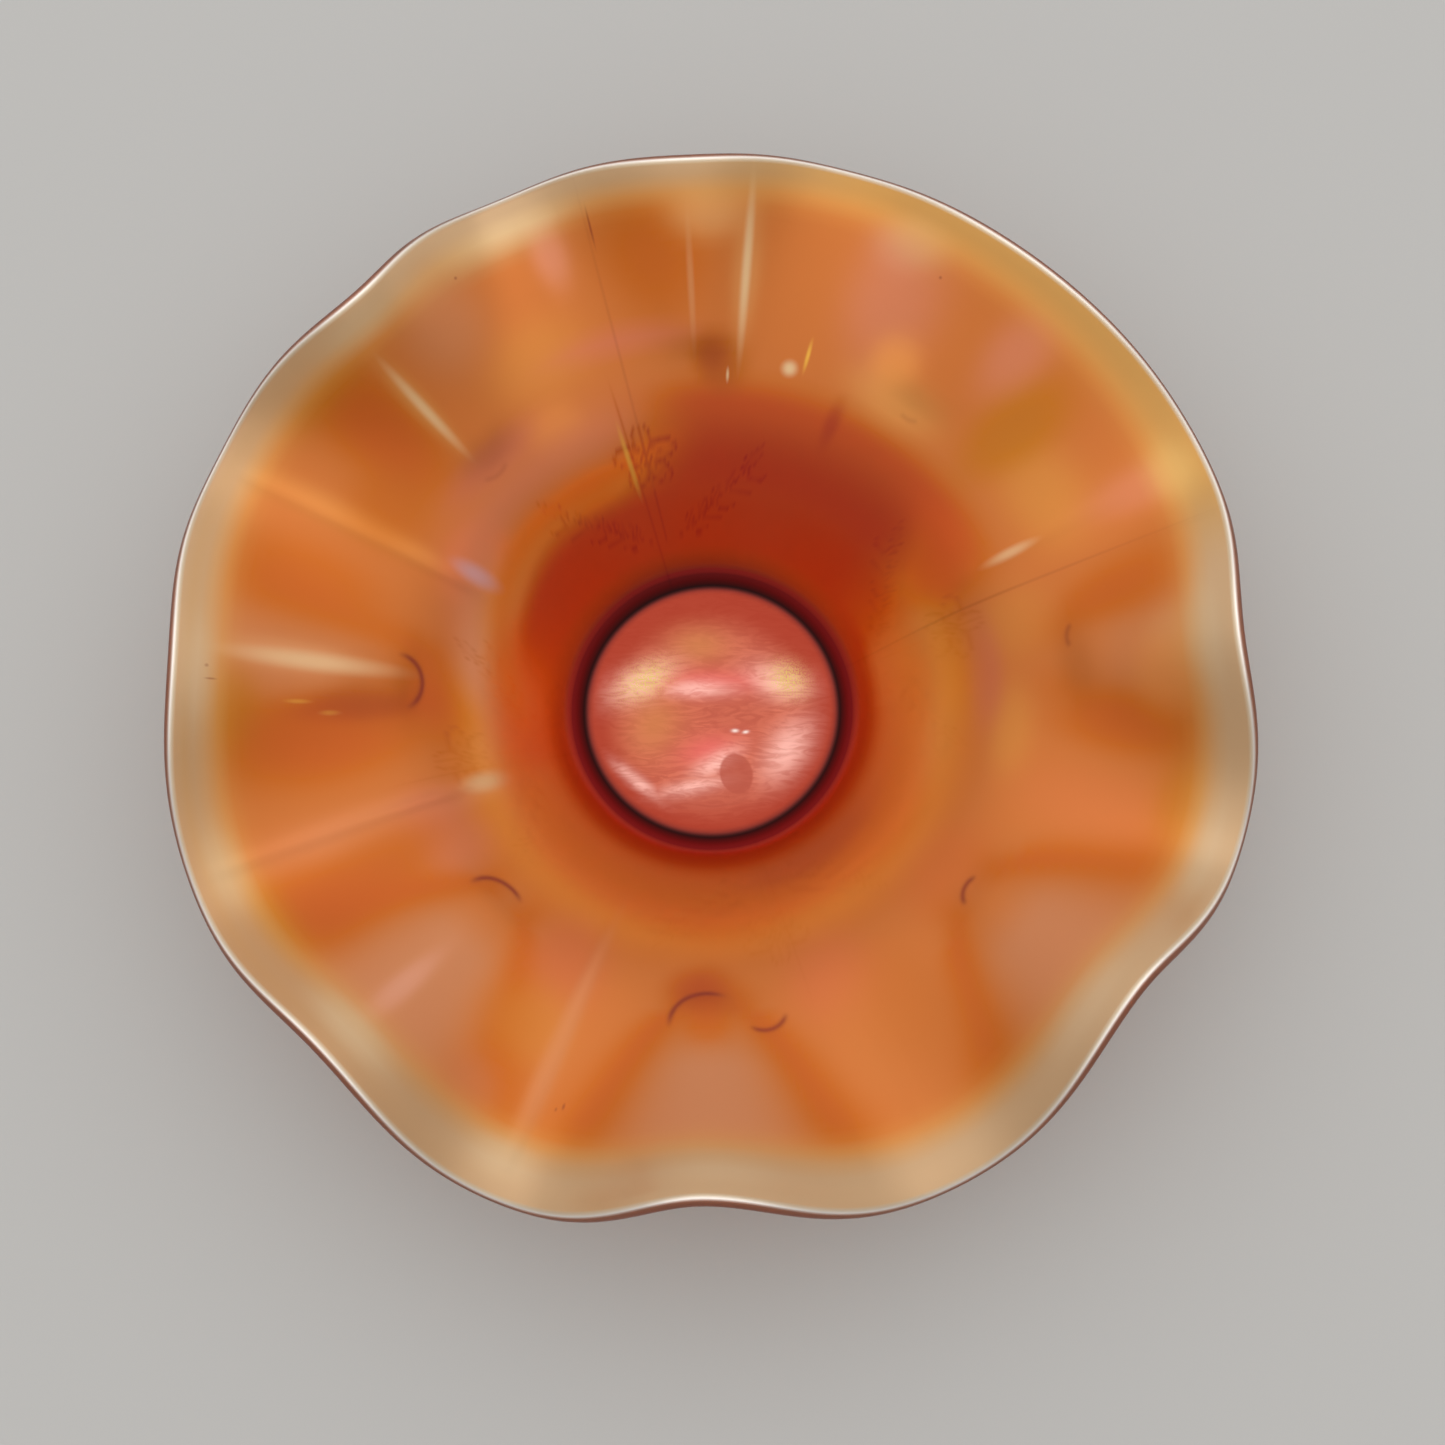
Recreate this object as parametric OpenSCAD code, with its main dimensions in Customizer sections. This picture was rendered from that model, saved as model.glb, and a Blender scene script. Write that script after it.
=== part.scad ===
// Ruffled bowl of pressed glass on a low ring foot.
// The bowl is one casting. Its nodes are the zones that meet face to face in that casting.
// Origin: centre of the ring on which the foot rests. +Z is up, along the axis of the bowl.
// Lengths are in millimetres and angles in degrees.

/* [Foot and floor] */
// Outer radius of the foot ring
foot_r = 32; // [29:0.5:35]
// Width of the foot ring where it joins the heel of the wall
foot_w = 3.4; // [3:0.2:5]
// Height of the foot ring
foot_h = 4; // [3:0.5:5]
// How far the middle of the floor is dished
floor_dish = 0.6; // [0.2:0.1:1]

/* [Wall] */
// Wall thickness beside the foot, and thickness of the floor's edge
heel_t = 4.8; // [4:0.2:5.4]
// Wall thickness at the rim
rim_t = 3.4; // [3:0.2:4]
// Length of the wall along its slope, from the floor to the rim
wall_len = 98; // [92:1:102]
// Steepest slope, in the cup
cup_slope = 46; // [42:1:50]
// Slope of the flare between crests and troughs
flare_slope = 22; // [19:1:25]
// Length of wall in the clear band along the rim
rim_band = 8; // [6:0.5:10]

/* [Ruffle] */
// How much the ruffle changes the slope at the rim, as a share of each crest's own lift
ruffle = 1; // [0.7:0.05:1.1]
// Height of the ridge that each crimping finger leaves along its crest
ridge_h = 1.2; // [0.5:0.1:2]

/* [Pressed pattern] */
// Height of the flowers and leaves above the outside of the wall
relief_h = 0.8; // [0.4:0.1:1]
// Height of the mould seams above the outside of the wall
seam_h = 0.35; // [0.2:0.05:0.5]

/* [Hidden] */

// The eight crests, hand crimped and so a little uneven: where each stands, its lift in degrees of slope,
// and how far up the wall the mark of the crimping finger ends.
crest_at = [4, 54, 92, 133, 179, 225, 270, 322];
crest_lift = [13, 4, 10, 17, 10, 11, 17, 14];
finger_end = [59, 57, 55, 50, 44, 42, 47, 51];
crests = len(crest_at);

// Stretches of the wall, as lengths from the floor along its slope.
heel_run = 8;            // the heel bends up to the cup's slope
relax_at = 21;           // the cup starts to flatten into the flare
relax_run = 36;
cup_end = 37;            // joint between the cup and the flare, below the ruffle
ruffle_at = 37;          // the ruffle starts here and is full after ruffle_run
ruffle_run = 45;
ridge_rise = 7;          // a ridge rises over this length from its finger's end
ridge_fade = 85;         // and is gone here
ridge_half_w = 8;        // half width of a ridge

mould_parts = 4;
seam_at = 18;            // angle of the first mould seam
seam_w = 0.9;
blossom_at = 15;         // angle of the first blossom
blossom_u = 36;          // where a blossom stands on the wall
root_u = 15;             // where its stem and sprays start

floor_r = foot_r - foot_w;
heel_z = foot_h + heel_t / 2;
floor_top = foot_h + heel_t;
integration_step = 2;
columns = 128;           // steps round the flare and the rim
flare_rows = 15;
edge_steps = 5;          // facets round the edge of the rim
overlap = 0.05;          // the relief and the seams sink this far into the wall that bears them

glass_orange = [0.84, 0.42, 0.13];
glass_amber = [0.74, 0.25, 0.08];
glass_rose = [0.86, 0.40, 0.33];
glass_clear = [0.88, 0.80, 0.64];
glass_plum = [0.42, 0.12, 0.14];

function clamp(x) = min(1, max(0, x));
function smooth(x) = let (t = clamp(x)) t * t * (3 - 2 * t);
function sum(v) = v * [for (x = v) 1];
function unit(v) = v / norm(v);

// The ruffle as a function of the angle round the bowl.

// Index of the crest at or before the angle a, which is from 0 to 360.
function crest_before(a) = a < crest_at[0] ? crests - 1 : max([for (k = [0:crests - 1]) if (crest_at[k] <= a) k]);

function crest_gap(k) = k == crests - 1 ? crest_at[0] + 360 - crest_at[k] : crest_at[k + 1] - crest_at[k];

// Share of the way from crest k to the next one.
function crest_phase(a, k) = ((a - crest_at[k] + 360) % 360) / crest_gap(k);

// Lift of the slope at the angle a: full on a crest, and as much downwards in the trough beside it.
function lift(a) =
    let (w = (a % 360 + 360) % 360, k = crest_before(w), t = crest_phase(w, k))
    let (here = crest_lift[k], next = crest_lift[(k + 1) % crests])
    ruffle * (here + (next - here) * smooth(t)) * cos(360 * t);

// Angle from crest k to a, from -180 to 180.
function from_crest(a, k) = (a - crest_at[k] + 540) % 360 - 180;

// The wall's middle surface. u is the length from the floor along the slope.

function slope(u, raised) =
    cup_slope * smooth(u / heel_run)
    - (cup_slope - flare_slope) * smooth((u - relax_at) / relax_run)
    + raised * smooth((u - ruffle_at) / ruffle_run);

function thickness(u) = heel_t + (rim_t - heel_t) * clamp(u / wall_len);

// Radius and height after u millimetres of wall.
function meridian(u, raised) =
    let (n = max(1, ceil(u / integration_step)), d = u / n)
    let (bends = [for (i = [0:n - 1]) slope((i + 0.5) * d, raised)])
    [floor_r + d * sum([for (b = bends) cos(b)]), heel_z + d * sum([for (b = bends) sin(b)])];

function at_angle(p, a) = [p[0] * cos(a), p[0] * sin(a), p[1]];

// A point of the round part of the wall, at the distance off from its middle.
function cup_point(u, off) = let (s = slope(u, 0)) meridian(u, 0) + off * [-sin(s), cos(s)];

// Direction up the wall.
function uphill(u, a) =
    let (s = slope(u, lift(a)))
    [cos(s) * cos(a), cos(s) * sin(a), sin(s)];

// Direction from the middle surface into the bowl.
function inward(u, a) =
    let (ahead = at_angle(meridian(u, lift(a + 1)), a + 1), behind = at_angle(meridian(u, lift(a - 1)), a - 1))
    unit(cross(uphill(u, a), ahead - behind));

// How far a crimping finger has pushed the wall inwards.
function ridge(u, a) =
    let (mm_per_deg = PI / 180 * meridian(u, 0)[0])
    ridge_h * (1 - smooth((u - ridge_fade + 30) / 30))
    * max([for (k = [0:crests - 1])
        let (across = from_crest(a, k) * mm_per_deg / ridge_half_w)
        exp(-across * across) * smooth((u - finger_end[k]) / ridge_rise)]);

// A point at the distance off from the middle surface, positive into the bowl.
function wall_point(u, a, off) =
    at_angle(meridian(u, lift(a)), a) + inward(u, a) * (ridge(u, a) + off);

// A point on the outside of the wall, raised by h.
function outside(u, a, h) = wall_point(u, a, -thickness(u) / 2 - h);

function spread(from, to, n) = [for (i = [0:n]) from + (to - from) * i / n];

// Solids from loops of points.

// A ring: each loop of points joins the next one, and the last joins the first.
module swept_ring(loops) {
    n = len(loops);
    m = len(loops[0]);
    polyhedron(
        points = [for (loop = loops) each loop],
        faces = [
            for (j = [0:n - 1], i = [0:m - 1])
                let (a = j * m + i, b = j * m + (i + 1) % m)
                let (c = (j + 1) % n * m + (i + 1) % m, d = (j + 1) % n * m + i)
                each [[a, b, c], [a, c, d]]
        ]);
}

// A bar with closed ends.
module swept_bar(loops) {
    n = len(loops);
    m = len(loops[0]);
    polyhedron(
        points = [for (loop = loops) each loop],
        faces = [
            [for (i = [m - 1:-1:0]) i],
            [for (i = [0:m - 1]) (n - 1) * m + i],
            for (j = [0:n - 2], i = [0:m - 1])
                let (a = j * m + i, b = j * m + (i + 1) % m)
                let (c = (j + 1) * m + (i + 1) % m, d = (j + 1) * m + i)
                each [[a, b, c], [a, c, d]]
        ]);
}

// Foot, floor and cup, which are round.

module foot_ring() {
    draft = 0.5;         // the ring narrows by this much on each side towards its rest
    edge = 0.5;          // radius of the edges of the resting face
    outer = foot_r - draft - edge;
    inner = floor_r + draft + edge;
    under_heel = spread(foot_w, 0, 4);
    color(glass_plum) rotate_extrude($fn = 128) polygon(concat(
        [for (a = spread(180, 270, 4)) [inner + edge * cos(a), edge + edge * sin(a)]],
        [for (a = spread(270, 360, 4)) [outer + edge * cos(a), edge + edge * sin(a)]],
        [for (u = under_heel) cup_point(u, -thickness(u) / 2)]));
}

module floor_disc() {
    color(glass_rose) rotate_extrude($fn = 128) polygon(concat(
        [[0, foot_h], [floor_r, foot_h]],
        [for (r = spread(floor_r, 0, 12)) [r, floor_top - floor_dish * (1 - smooth(r / floor_r))]]));
}

module cup_wall() {
    rows = concat(spread(0, foot_w, 4), spread(foot_w + 1.6, cup_end, 16));
    color(glass_amber) rotate_extrude($fn = 128) polygon(concat(
        [for (u = rows) cup_point(u, thickness(u) / 2)],
        [for (i = [len(rows) - 1:-1:0]) cup_point(rows[i], -thickness(rows[i]) / 2)]));
}

// Flare and rim, which carry the ruffle.

module ruffled_flare() {
    rows = spread(cup_end, wall_len - rim_band, flare_rows);
    color(glass_orange) swept_ring([
        for (j = [0:columns - 1])
            let (a = 360 * j / columns)
            concat(
                [for (u = rows) wall_point(u, a, thickness(u) / 2)],
                [for (i = [len(rows) - 1:-1:0]) outside(rows[i], a, 0)])
    ]);
}

module rim_edge() {
    rows = spread(wall_len - rim_band, wall_len, 2);
    half = thickness(wall_len) / 2;
    color(glass_clear) swept_ring([
        for (j = [0:columns - 1])
            let (a = 360 * j / columns)
            let (middle = wall_point(wall_len, a, 0), into = inward(wall_len, a), up = uphill(wall_len, a))
            concat(
                [for (u = rows) wall_point(u, a, thickness(u) / 2)],
                [for (i = [1:edge_steps - 1])
                    let (turn = 180 * i / edge_steps)
                    middle + half * (cos(turn) * into + sin(turn) * up)],
                [for (i = [len(rows) - 1:-1:0]) outside(rows[i], a, 0)])
    ]);
}

// Pressed pattern. A line on the wall is a list of [length up the wall, angle] pairs.

// Cross-section of a raised line at one place: across holds the half width as [along the wall, degrees].
function mound(p, across, h) =
    [for (side = [[-1, -overlap], [-0.5, 0.9 * h], [0.5, 0.9 * h], [1, -overlap]])
        outside(p[0] + side[0] * across[0], p[1] + side[0] * across[1], side[1])];

// A raised bar along a line on the wall. half_ws and heights hold one value for each point of the line.
module raised_line(line, half_ws, heights) {
    n = len(line);
    swept_bar([
        for (i = [0:n - 1])
            let (r = meridian(line[i][0], 0)[0], before = line[max(i - 1, 0)], after = line[min(i + 1, n - 1)])
            let (du = after[0] - before[0], dv = (after[1] - before[1]) * PI / 180 * r, long = norm([du, dv]))
            let (side = half_ws[i] * [dv, -du] / long)
            mound(line[i], [side[0], side[1] * 180 / PI / r], heights[i])
    ]);
}

module mould_seams() {
    line = [for (u = spread(foot_w + 1, wall_len - 1, 24)) [u, 0]];
    // A seam stops where a leaf or petal stands across it.
    color(glass_orange) difference() {
        for (k = [0:mould_parts - 1]) {
            a = seam_at + 360 / mould_parts * k;
            raised_line(
                [for (p = line) [p[0], a]],
                [for (p = line) seam_w / 2],
                [for (p = line) seam_h]);
        }
        flower_relief();
    }
}

// A leaf or petal from base to tip, where each is [length up the wall, angle].
module leaf(base, tip, half_w) {
    steps = spread(0.03, 0.97, 4);
    raised_line(
        [for (t = steps) base + (tip - base) * t],
        [for (t = steps) half_w * pow(sin(180 * pow(t, 0.8)), 0.7)],
        [for (t = steps) relief_h * pow(sin(180 * t), 0.4)]);
}

// Where the stem of a spray lies at t, from the root at 0 to its tip at 1. side is 1 or -1.
function stem(a, side, t) = [root_u + 19 * pow(t, 1.6), a + side * (1.5 + 24 * t)];

module spray(a, side) {
    pairs = 5;
    line = [for (t = spread(0, 0.95, 8)) stem(a, side, t)];
    raised_line(line, [for (p = line) 0.4], [for (p = line) 0.5 * relief_h]);
    leaf(stem(a, side, 0.96), stem(a, side, 0.96) + [6, side * 3], 1.3);
    for (k = [0:pairs - 1]) {
        from = stem(a, side, 0.26 + 0.16 * k);
        leaf(from + [0.6, 0], from + [5.8, side * 2.2], 1.1);
        leaf(from + [-0.4, side * 0.8], from + [-0.2, side * 6.6], 1.1);
    }
}

module blossom(a) {
    petals = 5;
    reach = 8;
    middle = [blossom_u, a];
    deg_per_mm = 180 / PI / meridian(blossom_u, 0)[0];
    for (k = [0:petals - 1]) {
        turn = 90 + 360 / petals * k;
        way = [sin(turn), cos(turn) * deg_per_mm];
        leaf(middle + 1.8 * way, middle + reach * way, 2.5);
    }
    leaf(middle - [1.5, 0], middle + [1.5, 0], 1.3);
    stalk = [for (t = [0, 0.5, 1]) [root_u + (blossom_u - reach - root_u) * t, a]];
    raised_line(stalk, [for (p = stalk) 0.45], [for (p = stalk) 0.6 * relief_h]);
}

module flower_relief() {
    color(glass_amber) for (k = [0:mould_parts - 1]) {
        a = blossom_at + 360 / mould_parts * k;
        blossom(a);
        spray(a, 1);
        spray(a, -1);
    }
}

foot_ring();
floor_disc();
cup_wall();
ruffled_flare();
rim_edge();
mould_seams();
flower_relief();
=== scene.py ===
"""Looks of the ruffled lustre-glass bowl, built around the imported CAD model."""

import math

import bpy
import numpy as np
from mathutils import Matrix, Vector


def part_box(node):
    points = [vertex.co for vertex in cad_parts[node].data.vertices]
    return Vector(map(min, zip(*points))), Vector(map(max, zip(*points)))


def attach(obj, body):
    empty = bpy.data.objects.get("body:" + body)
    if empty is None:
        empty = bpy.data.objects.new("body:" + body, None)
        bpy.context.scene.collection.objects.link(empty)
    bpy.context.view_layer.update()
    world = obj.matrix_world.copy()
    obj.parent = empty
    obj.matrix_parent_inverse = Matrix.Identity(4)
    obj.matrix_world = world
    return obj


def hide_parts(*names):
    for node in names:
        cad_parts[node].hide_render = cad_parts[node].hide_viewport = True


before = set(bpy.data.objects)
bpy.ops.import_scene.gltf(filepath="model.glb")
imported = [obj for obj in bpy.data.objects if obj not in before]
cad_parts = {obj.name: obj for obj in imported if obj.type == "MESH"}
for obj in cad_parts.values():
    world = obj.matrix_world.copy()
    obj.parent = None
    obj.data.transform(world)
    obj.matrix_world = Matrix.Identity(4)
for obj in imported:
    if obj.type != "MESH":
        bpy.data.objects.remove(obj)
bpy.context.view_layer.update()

MM = 0.001

# ---------------------------------------------------------------- measures, in mm and degrees

foot_box = [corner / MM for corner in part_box("foot_ring")]
floor_box = [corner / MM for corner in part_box("floor_disc")]
FLOOR_R = round(floor_box[1].x, 1)
FOOT_H = round(foot_box[1].z, 1)
FLOOR_TOP = round(floor_box[1].z, 1)
HEEL_T = FLOOR_TOP - FOOT_H
HEEL_Z = FOOT_H + HEEL_T / 2
FOOT_W = 3.4
FOOT_R = FLOOR_R + FOOT_W
FOOT_DRAFT = 0.5
FOOT_EDGE = 0.5
FLOOR_DISH = 0.6
UNDERSIDE_DOME = 0.25

# The wall: lengths are along its slope, from the foot to the rim.
RIM_T = 3.4
WALL_LEN = 98
CUP_SLOPE = 46
FLARE_SLOPE = 22
HEEL_RUN = 8
RELAX_AT, RELAX_RUN = 21, 36
RUFFLE_AT, RUFFLE_RUN = 37, 45
CREST_AT = np.array([4, 54, 92, 133, 179, 225, 270, 322], float)
CREST_LIFT = np.array([13, 4, 10, 17, 10, 11, 17, 14], float)
FINGER_END = np.array([59, 57, 55, 50, 44, 42, 47, 51], float)
RIDGE_H, RIDGE_RISE, RIDGE_HALF_W = 1.0, 8, 8
RIDGE_FADE_AT, RIDGE_FADE_RUN = 55, 30
# The crease down the middle of each trough, from the first trough after the first crest.
FOLD_AT = np.array([24, 73, 112, 156, 202, 248, 296, 343], float)
FOLD_DEPTH = np.array([0.4, 0, 0.2, 1.0, 1.0, 0.9, 0.2, 0])
FOLD_HALF_W, FOLD_H = 1.5, 0.4
FOLD_FROM, FOLD_RISE, FOLD_TO, FOLD_FADE = 33, 12, 89, 8

# The pressed pattern.
MOULD_PARTS = 4
QUARTER = 360 / MOULD_PARTS
SEAM_AT, SEAM_W, SEAM_H = 18, 0.9, 0.3
BLOSSOM_AT, BLOSSOM_U, ROOT_U = 15, 36, 15
RELIEF_H = 0.7
LEAF_REACH = 16
VEIN_DEPTH, VEIN_HALF_W = 0.35, 0.28
WALL_STEP = 0.25

# The studio light: strength from all sides, and what the far side and the top add to it.
SKY_ALL, SKY_FAR, SKY_TOP = 0.56, 0.56, 0.6


def smooth(t):
    """A soft step from 0 to 1."""
    t = np.clip(t, 0, 1)
    return t * t * (3 - 2 * t)


def bell(x):
    """1 at 0, falling softly to nearly 0 at 2 on both sides."""
    return np.exp(-x ** 2)


def turn_from(angles, at):
    """Degrees from one angle to others, between -180 and 180."""
    return (angles - at + 180) % 360 - 180


def arc_from(angles, at, r):
    """Distance in mm round the bowl, from the line at this angle."""
    return np.radians(turn_from(angles, at))[None, :] * r


# ---------------------------------------------------------------- the ruffle, round the bowl

def crest_phase(angles):
    """Index of the crest before each angle, and the share of the way to the next one."""
    before = (np.searchsorted(CREST_AT, angles, side="right") - 1) % len(CREST_AT)
    gap = (CREST_AT[(before + 1) % len(CREST_AT)] - CREST_AT[before]) % 360
    return before, ((angles - CREST_AT[before]) % 360) / gap


def lift(angles):
    """Degrees that the ruffle adds to the slope at the rim."""
    before, t = crest_phase(angles % 360)
    here, ahead = CREST_LIFT[before], CREST_LIFT[(before + 1) % len(CREST_LIFT)]
    return (here + (ahead - here) * smooth(t)) * np.cos(2 * np.pi * t)


# ---------------------------------------------------------------- the wall

def thickness(u):
    """The wall thins evenly from the heel to the rim."""
    return HEEL_T + (RIM_T - HEEL_T) * np.clip(u / WALL_LEN, 0, 1)


def slope(u, raised):
    """Degrees from level: round the heel, up the cup, and out over the flare with the ruffle."""
    cup = CUP_SLOPE * smooth(u / HEEL_RUN)
    flare = (CUP_SLOPE - FLARE_SLOPE) * smooth((u - RELAX_AT) / RELAX_RUN)
    return cup - flare + raised * smooth((u - RUFFLE_AT) / RUFFLE_RUN)


def middle(us, angles):
    """Radius, height and slope of the wall's middle surface, as arrays of rows us and columns angles."""
    fine = np.arange(0, WALL_LEN + WALL_STEP, WALL_STEP)
    raised = lift(angles)[None, :]
    bend = np.radians(slope(fine[:-1, None] + WALL_STEP / 2, raised))
    start = np.zeros((1, len(angles)))
    radius = FLOOR_R + np.concatenate([start, np.cumsum(np.cos(bend), 0) * WALL_STEP])
    height = HEEL_Z + np.concatenate([start, np.cumsum(np.sin(bend), 0) * WALL_STEP])
    index = np.clip(us / WALL_STEP, 0, len(fine) - 1.001)
    low = index.astype(int)
    part = (index - low)[:, None]
    r = radius[low] * (1 - part) + radius[low + 1] * part
    z = height[low] * (1 - part) + height[low + 1] * part
    return r, z, np.radians(slope(us[:, None], raised))


def under_heel(us):
    """Radius and height of the round heel's underside."""
    r, z, bend = middle(us, np.array([0.0]))
    half = thickness(us)[:, None] / 2
    return r + half * np.sin(bend), z - half * np.cos(bend)


def to_xyz(r, z, angles):
    a = np.radians(angles)[None, :]
    return np.stack([r * np.cos(a), r * np.sin(a), z + 0 * a], -1)


def wall(us, angles):
    """Points of the middle surface with the ridges, and the unit vectors into the bowl and up the wall."""
    r, z, bend = middle(us, angles)
    a = np.radians(angles)[None, :]
    uphill = np.stack([np.cos(bend) * np.cos(a), np.cos(bend) * np.sin(a), np.sin(bend)], -1)
    step = 0.5
    ahead = to_xyz(*middle(us, angles + step)[:2], angles + step)
    behind = to_xyz(*middle(us, angles - step)[:2], angles - step)
    inward = np.cross(uphill, ahead - behind)
    inward /= np.linalg.norm(inward, axis=-1, keepdims=True)
    ridge, fold = crimp_marks(us, angles, r)
    lifted = RIDGE_H * ridge + FOLD_H * fold
    return to_xyz(r, z, angles) + inward * lifted[..., None], inward, uphill, r


def crimp_marks(us, angles, r):
    """Shares from 0 to 1 of the ridge along each crest, and of the crease in each trough."""
    u = us[:, None]
    ridge, fold = np.zeros_like(r), np.zeros_like(r)
    for at, end in zip(CREST_AT, FINGER_END):
        across = bell(arc_from(angles, at, r) / RIDGE_HALF_W)
        ridge = np.maximum(ridge, across * smooth((u - end) / RIDGE_RISE))
    ridge *= 1 - smooth((u - RIDGE_FADE_AT) / RIDGE_FADE_RUN)
    for at, depth in zip(FOLD_AT, FOLD_DEPTH):
        reach = depth * smooth((u - FOLD_FROM) / FOLD_RISE) * (1 - smooth((u - FOLD_TO) / FOLD_FADE))
        fold = np.maximum(fold, reach * bell(arc_from(angles, at, r) / FOLD_HALF_W))
    return ridge, fold


# ---------------------------------------------------------------- the pressed pattern

def leaf(u, angles, r, base, tip, half_w):
    """Height share of one leaf or petal from base to tip, each (length up the wall, angle)."""
    dv = arc_from(angles, base[1], r)
    du = u - base[0]
    scale = math.radians(1) * (FLOOR_R + 0.8 * base[0])
    way = np.array([tip[0] - base[0], (tip[1] - base[1]) * scale])
    long = np.hypot(*way)
    way /= long
    t = (du * way[0] + dv * way[1]) / long
    across = np.abs(-du * way[1] + dv * way[0])
    inside = np.clip(t, 0.001, 0.999)
    width = half_w * np.sin(np.pi * inside ** 0.8) ** 0.7
    dome = np.sqrt(np.clip(1 - (across / np.maximum(width, 0.05)) ** 2, 0, 1))
    vein = 1 - VEIN_DEPTH * bell(across / VEIN_HALF_W)
    return np.where((t > 0) & (t < 1), dome * vein, 0)


def stem_point(a, side, t):
    """A point on the stem of one spray, a share t of the way from its root."""
    return np.array([ROOT_U + 19 * t ** 1.6, a + side * (1.5 + 24 * t)])


def spray_leaves(a, side):
    """The leaves of one spray: base, tip and half width of each."""
    end = stem_point(a, side, 0.96)
    found = [(end, end + (6, side * 3), 1.2)]
    for k in range(5):
        start = stem_point(a, side, 0.26 + 0.16 * k)
        found.append((start + (0.6, 0), start + (5.8, side * 2.2), 1.0))
        found.append((start + (-0.4, side * 0.8), start + (-0.2, side * 6.6), 1.0))
    for k in range(10):
        t = k / 10
        found.append((stem_point(a, side, t), stem_point(a, side, t + 0.12), 0.35))
    return found


def blossom_leaves(a):
    """The petals, middle and stalk of one flower, and the buds between its petals."""
    per_mm = 180 / math.pi / (FLOOR_R + 0.8 * BLOSSOM_U)
    centre = np.array([BLOSSOM_U, a], float)
    found = [(centre - (1.5, 0), centre + (1.5, 0), 1.3), ((ROOT_U, a), (BLOSSOM_U - 8, a), 0.45)]
    for k in range(5):
        turn = math.radians(90 + 72 * k)
        way = np.array([math.sin(turn), math.cos(turn) * per_mm])
        found.append((centre + 1.8 * way, centre + 8 * way, 2.5))
        half_way = math.radians(90 + 72 * k + 36)
        bud = np.array([math.sin(half_way), math.cos(half_way) * per_mm])
        found.append((centre + 2.0 * bud, centre + 4.6 * bud, 0.35))
    return found


def relief(us, angles, r):
    """Height in mm of the seams, and of the flowers and leaves, outside the wall."""
    u = us[:, None]
    flowers = np.zeros_like(r)
    seams = np.zeros_like(r)
    for k in range(MOULD_PARTS):
        a = BLOSSOM_AT + QUARTER * k
        for base, tip, half_w in blossom_leaves(a) + spray_leaves(a, 1) + spray_leaves(a, -1):
            near = np.abs(turn_from(angles, base[1])) < LEAF_REACH
            flowers[:, near] = np.maximum(
                flowers[:, near], leaf(u, angles[near], r[:, near], base, tip, half_w))
        off = np.abs(arc_from(angles, SEAM_AT + QUARTER * k, r))
        seams = np.maximum(seams, np.clip(1 - off / (SEAM_W / 2), 0, 1))
    ends = smooth((u - 1) / 2) * smooth((WALL_LEN - 1 - u) / 2)
    return RELIEF_H * flowers, SEAM_H * seams * ends


# Crescents that the crimping tool left at the inner ends of the ridges: angle, inner end on the wall, radius,
# middle of the arc and half of its turn (0 is towards the foot), and strength.
# The crescents are also painted dark brown in the glass: painted shade in the grooves.
CRESCENTS = [
    (179, 44.5, 6.0, -12, 85, 1.0),
    (226, 42.5, 7.0, -28, 62, 1.0),
    (270, 48.5, 8.0, -33, 65, 1.0),
    (279.5, 48, 5.0, 165, 60, 0.9),
    (322, 52.5, 4.0, -20, 62, 0.9),
    (7, 61, 3.5, 10, 50, 0.5),
    (54, 56, 4.0, -10, 35, 0.2),
    (134, 49, 5.0, 5, 45, 0.25),
]
CRESCENT_HALF_W, CRESCENT_DEPTH = 0.75, 0.4


def crescents(us, angles, r):
    """Share of a groove at each point."""
    groove = np.zeros_like(r)
    for at, end, radius, mid, half_turn, strength in CRESCENTS:
        x = arc_from(angles, at, r)
        y = us[:, None] - end - radius
        ring = bell((np.hypot(x, y) - radius) / (1.4 * CRESCENT_HALF_W))
        off = np.abs(turn_from(np.degrees(np.arctan2(x, -y)), mid))
        groove = np.maximum(groove, strength * ring * smooth((half_turn - off) / 20))
    return groove


# ---------------------------------------------------------------- the glass as one closed mesh

def columns():
    """Angles of the points of a fine loop, closer together beside the seams."""
    grid = np.arange(0, 360, FINE_STEP)
    beside_seam = np.array([-0.33, -0.2, -0.08, 0.08, 0.2, 0.33])
    seams = [SEAM_AT + QUARTER * k + beside_seam for k in range(MOULD_PARTS)]
    return np.unique(np.round(np.concatenate([grid] + seams), 3))


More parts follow.
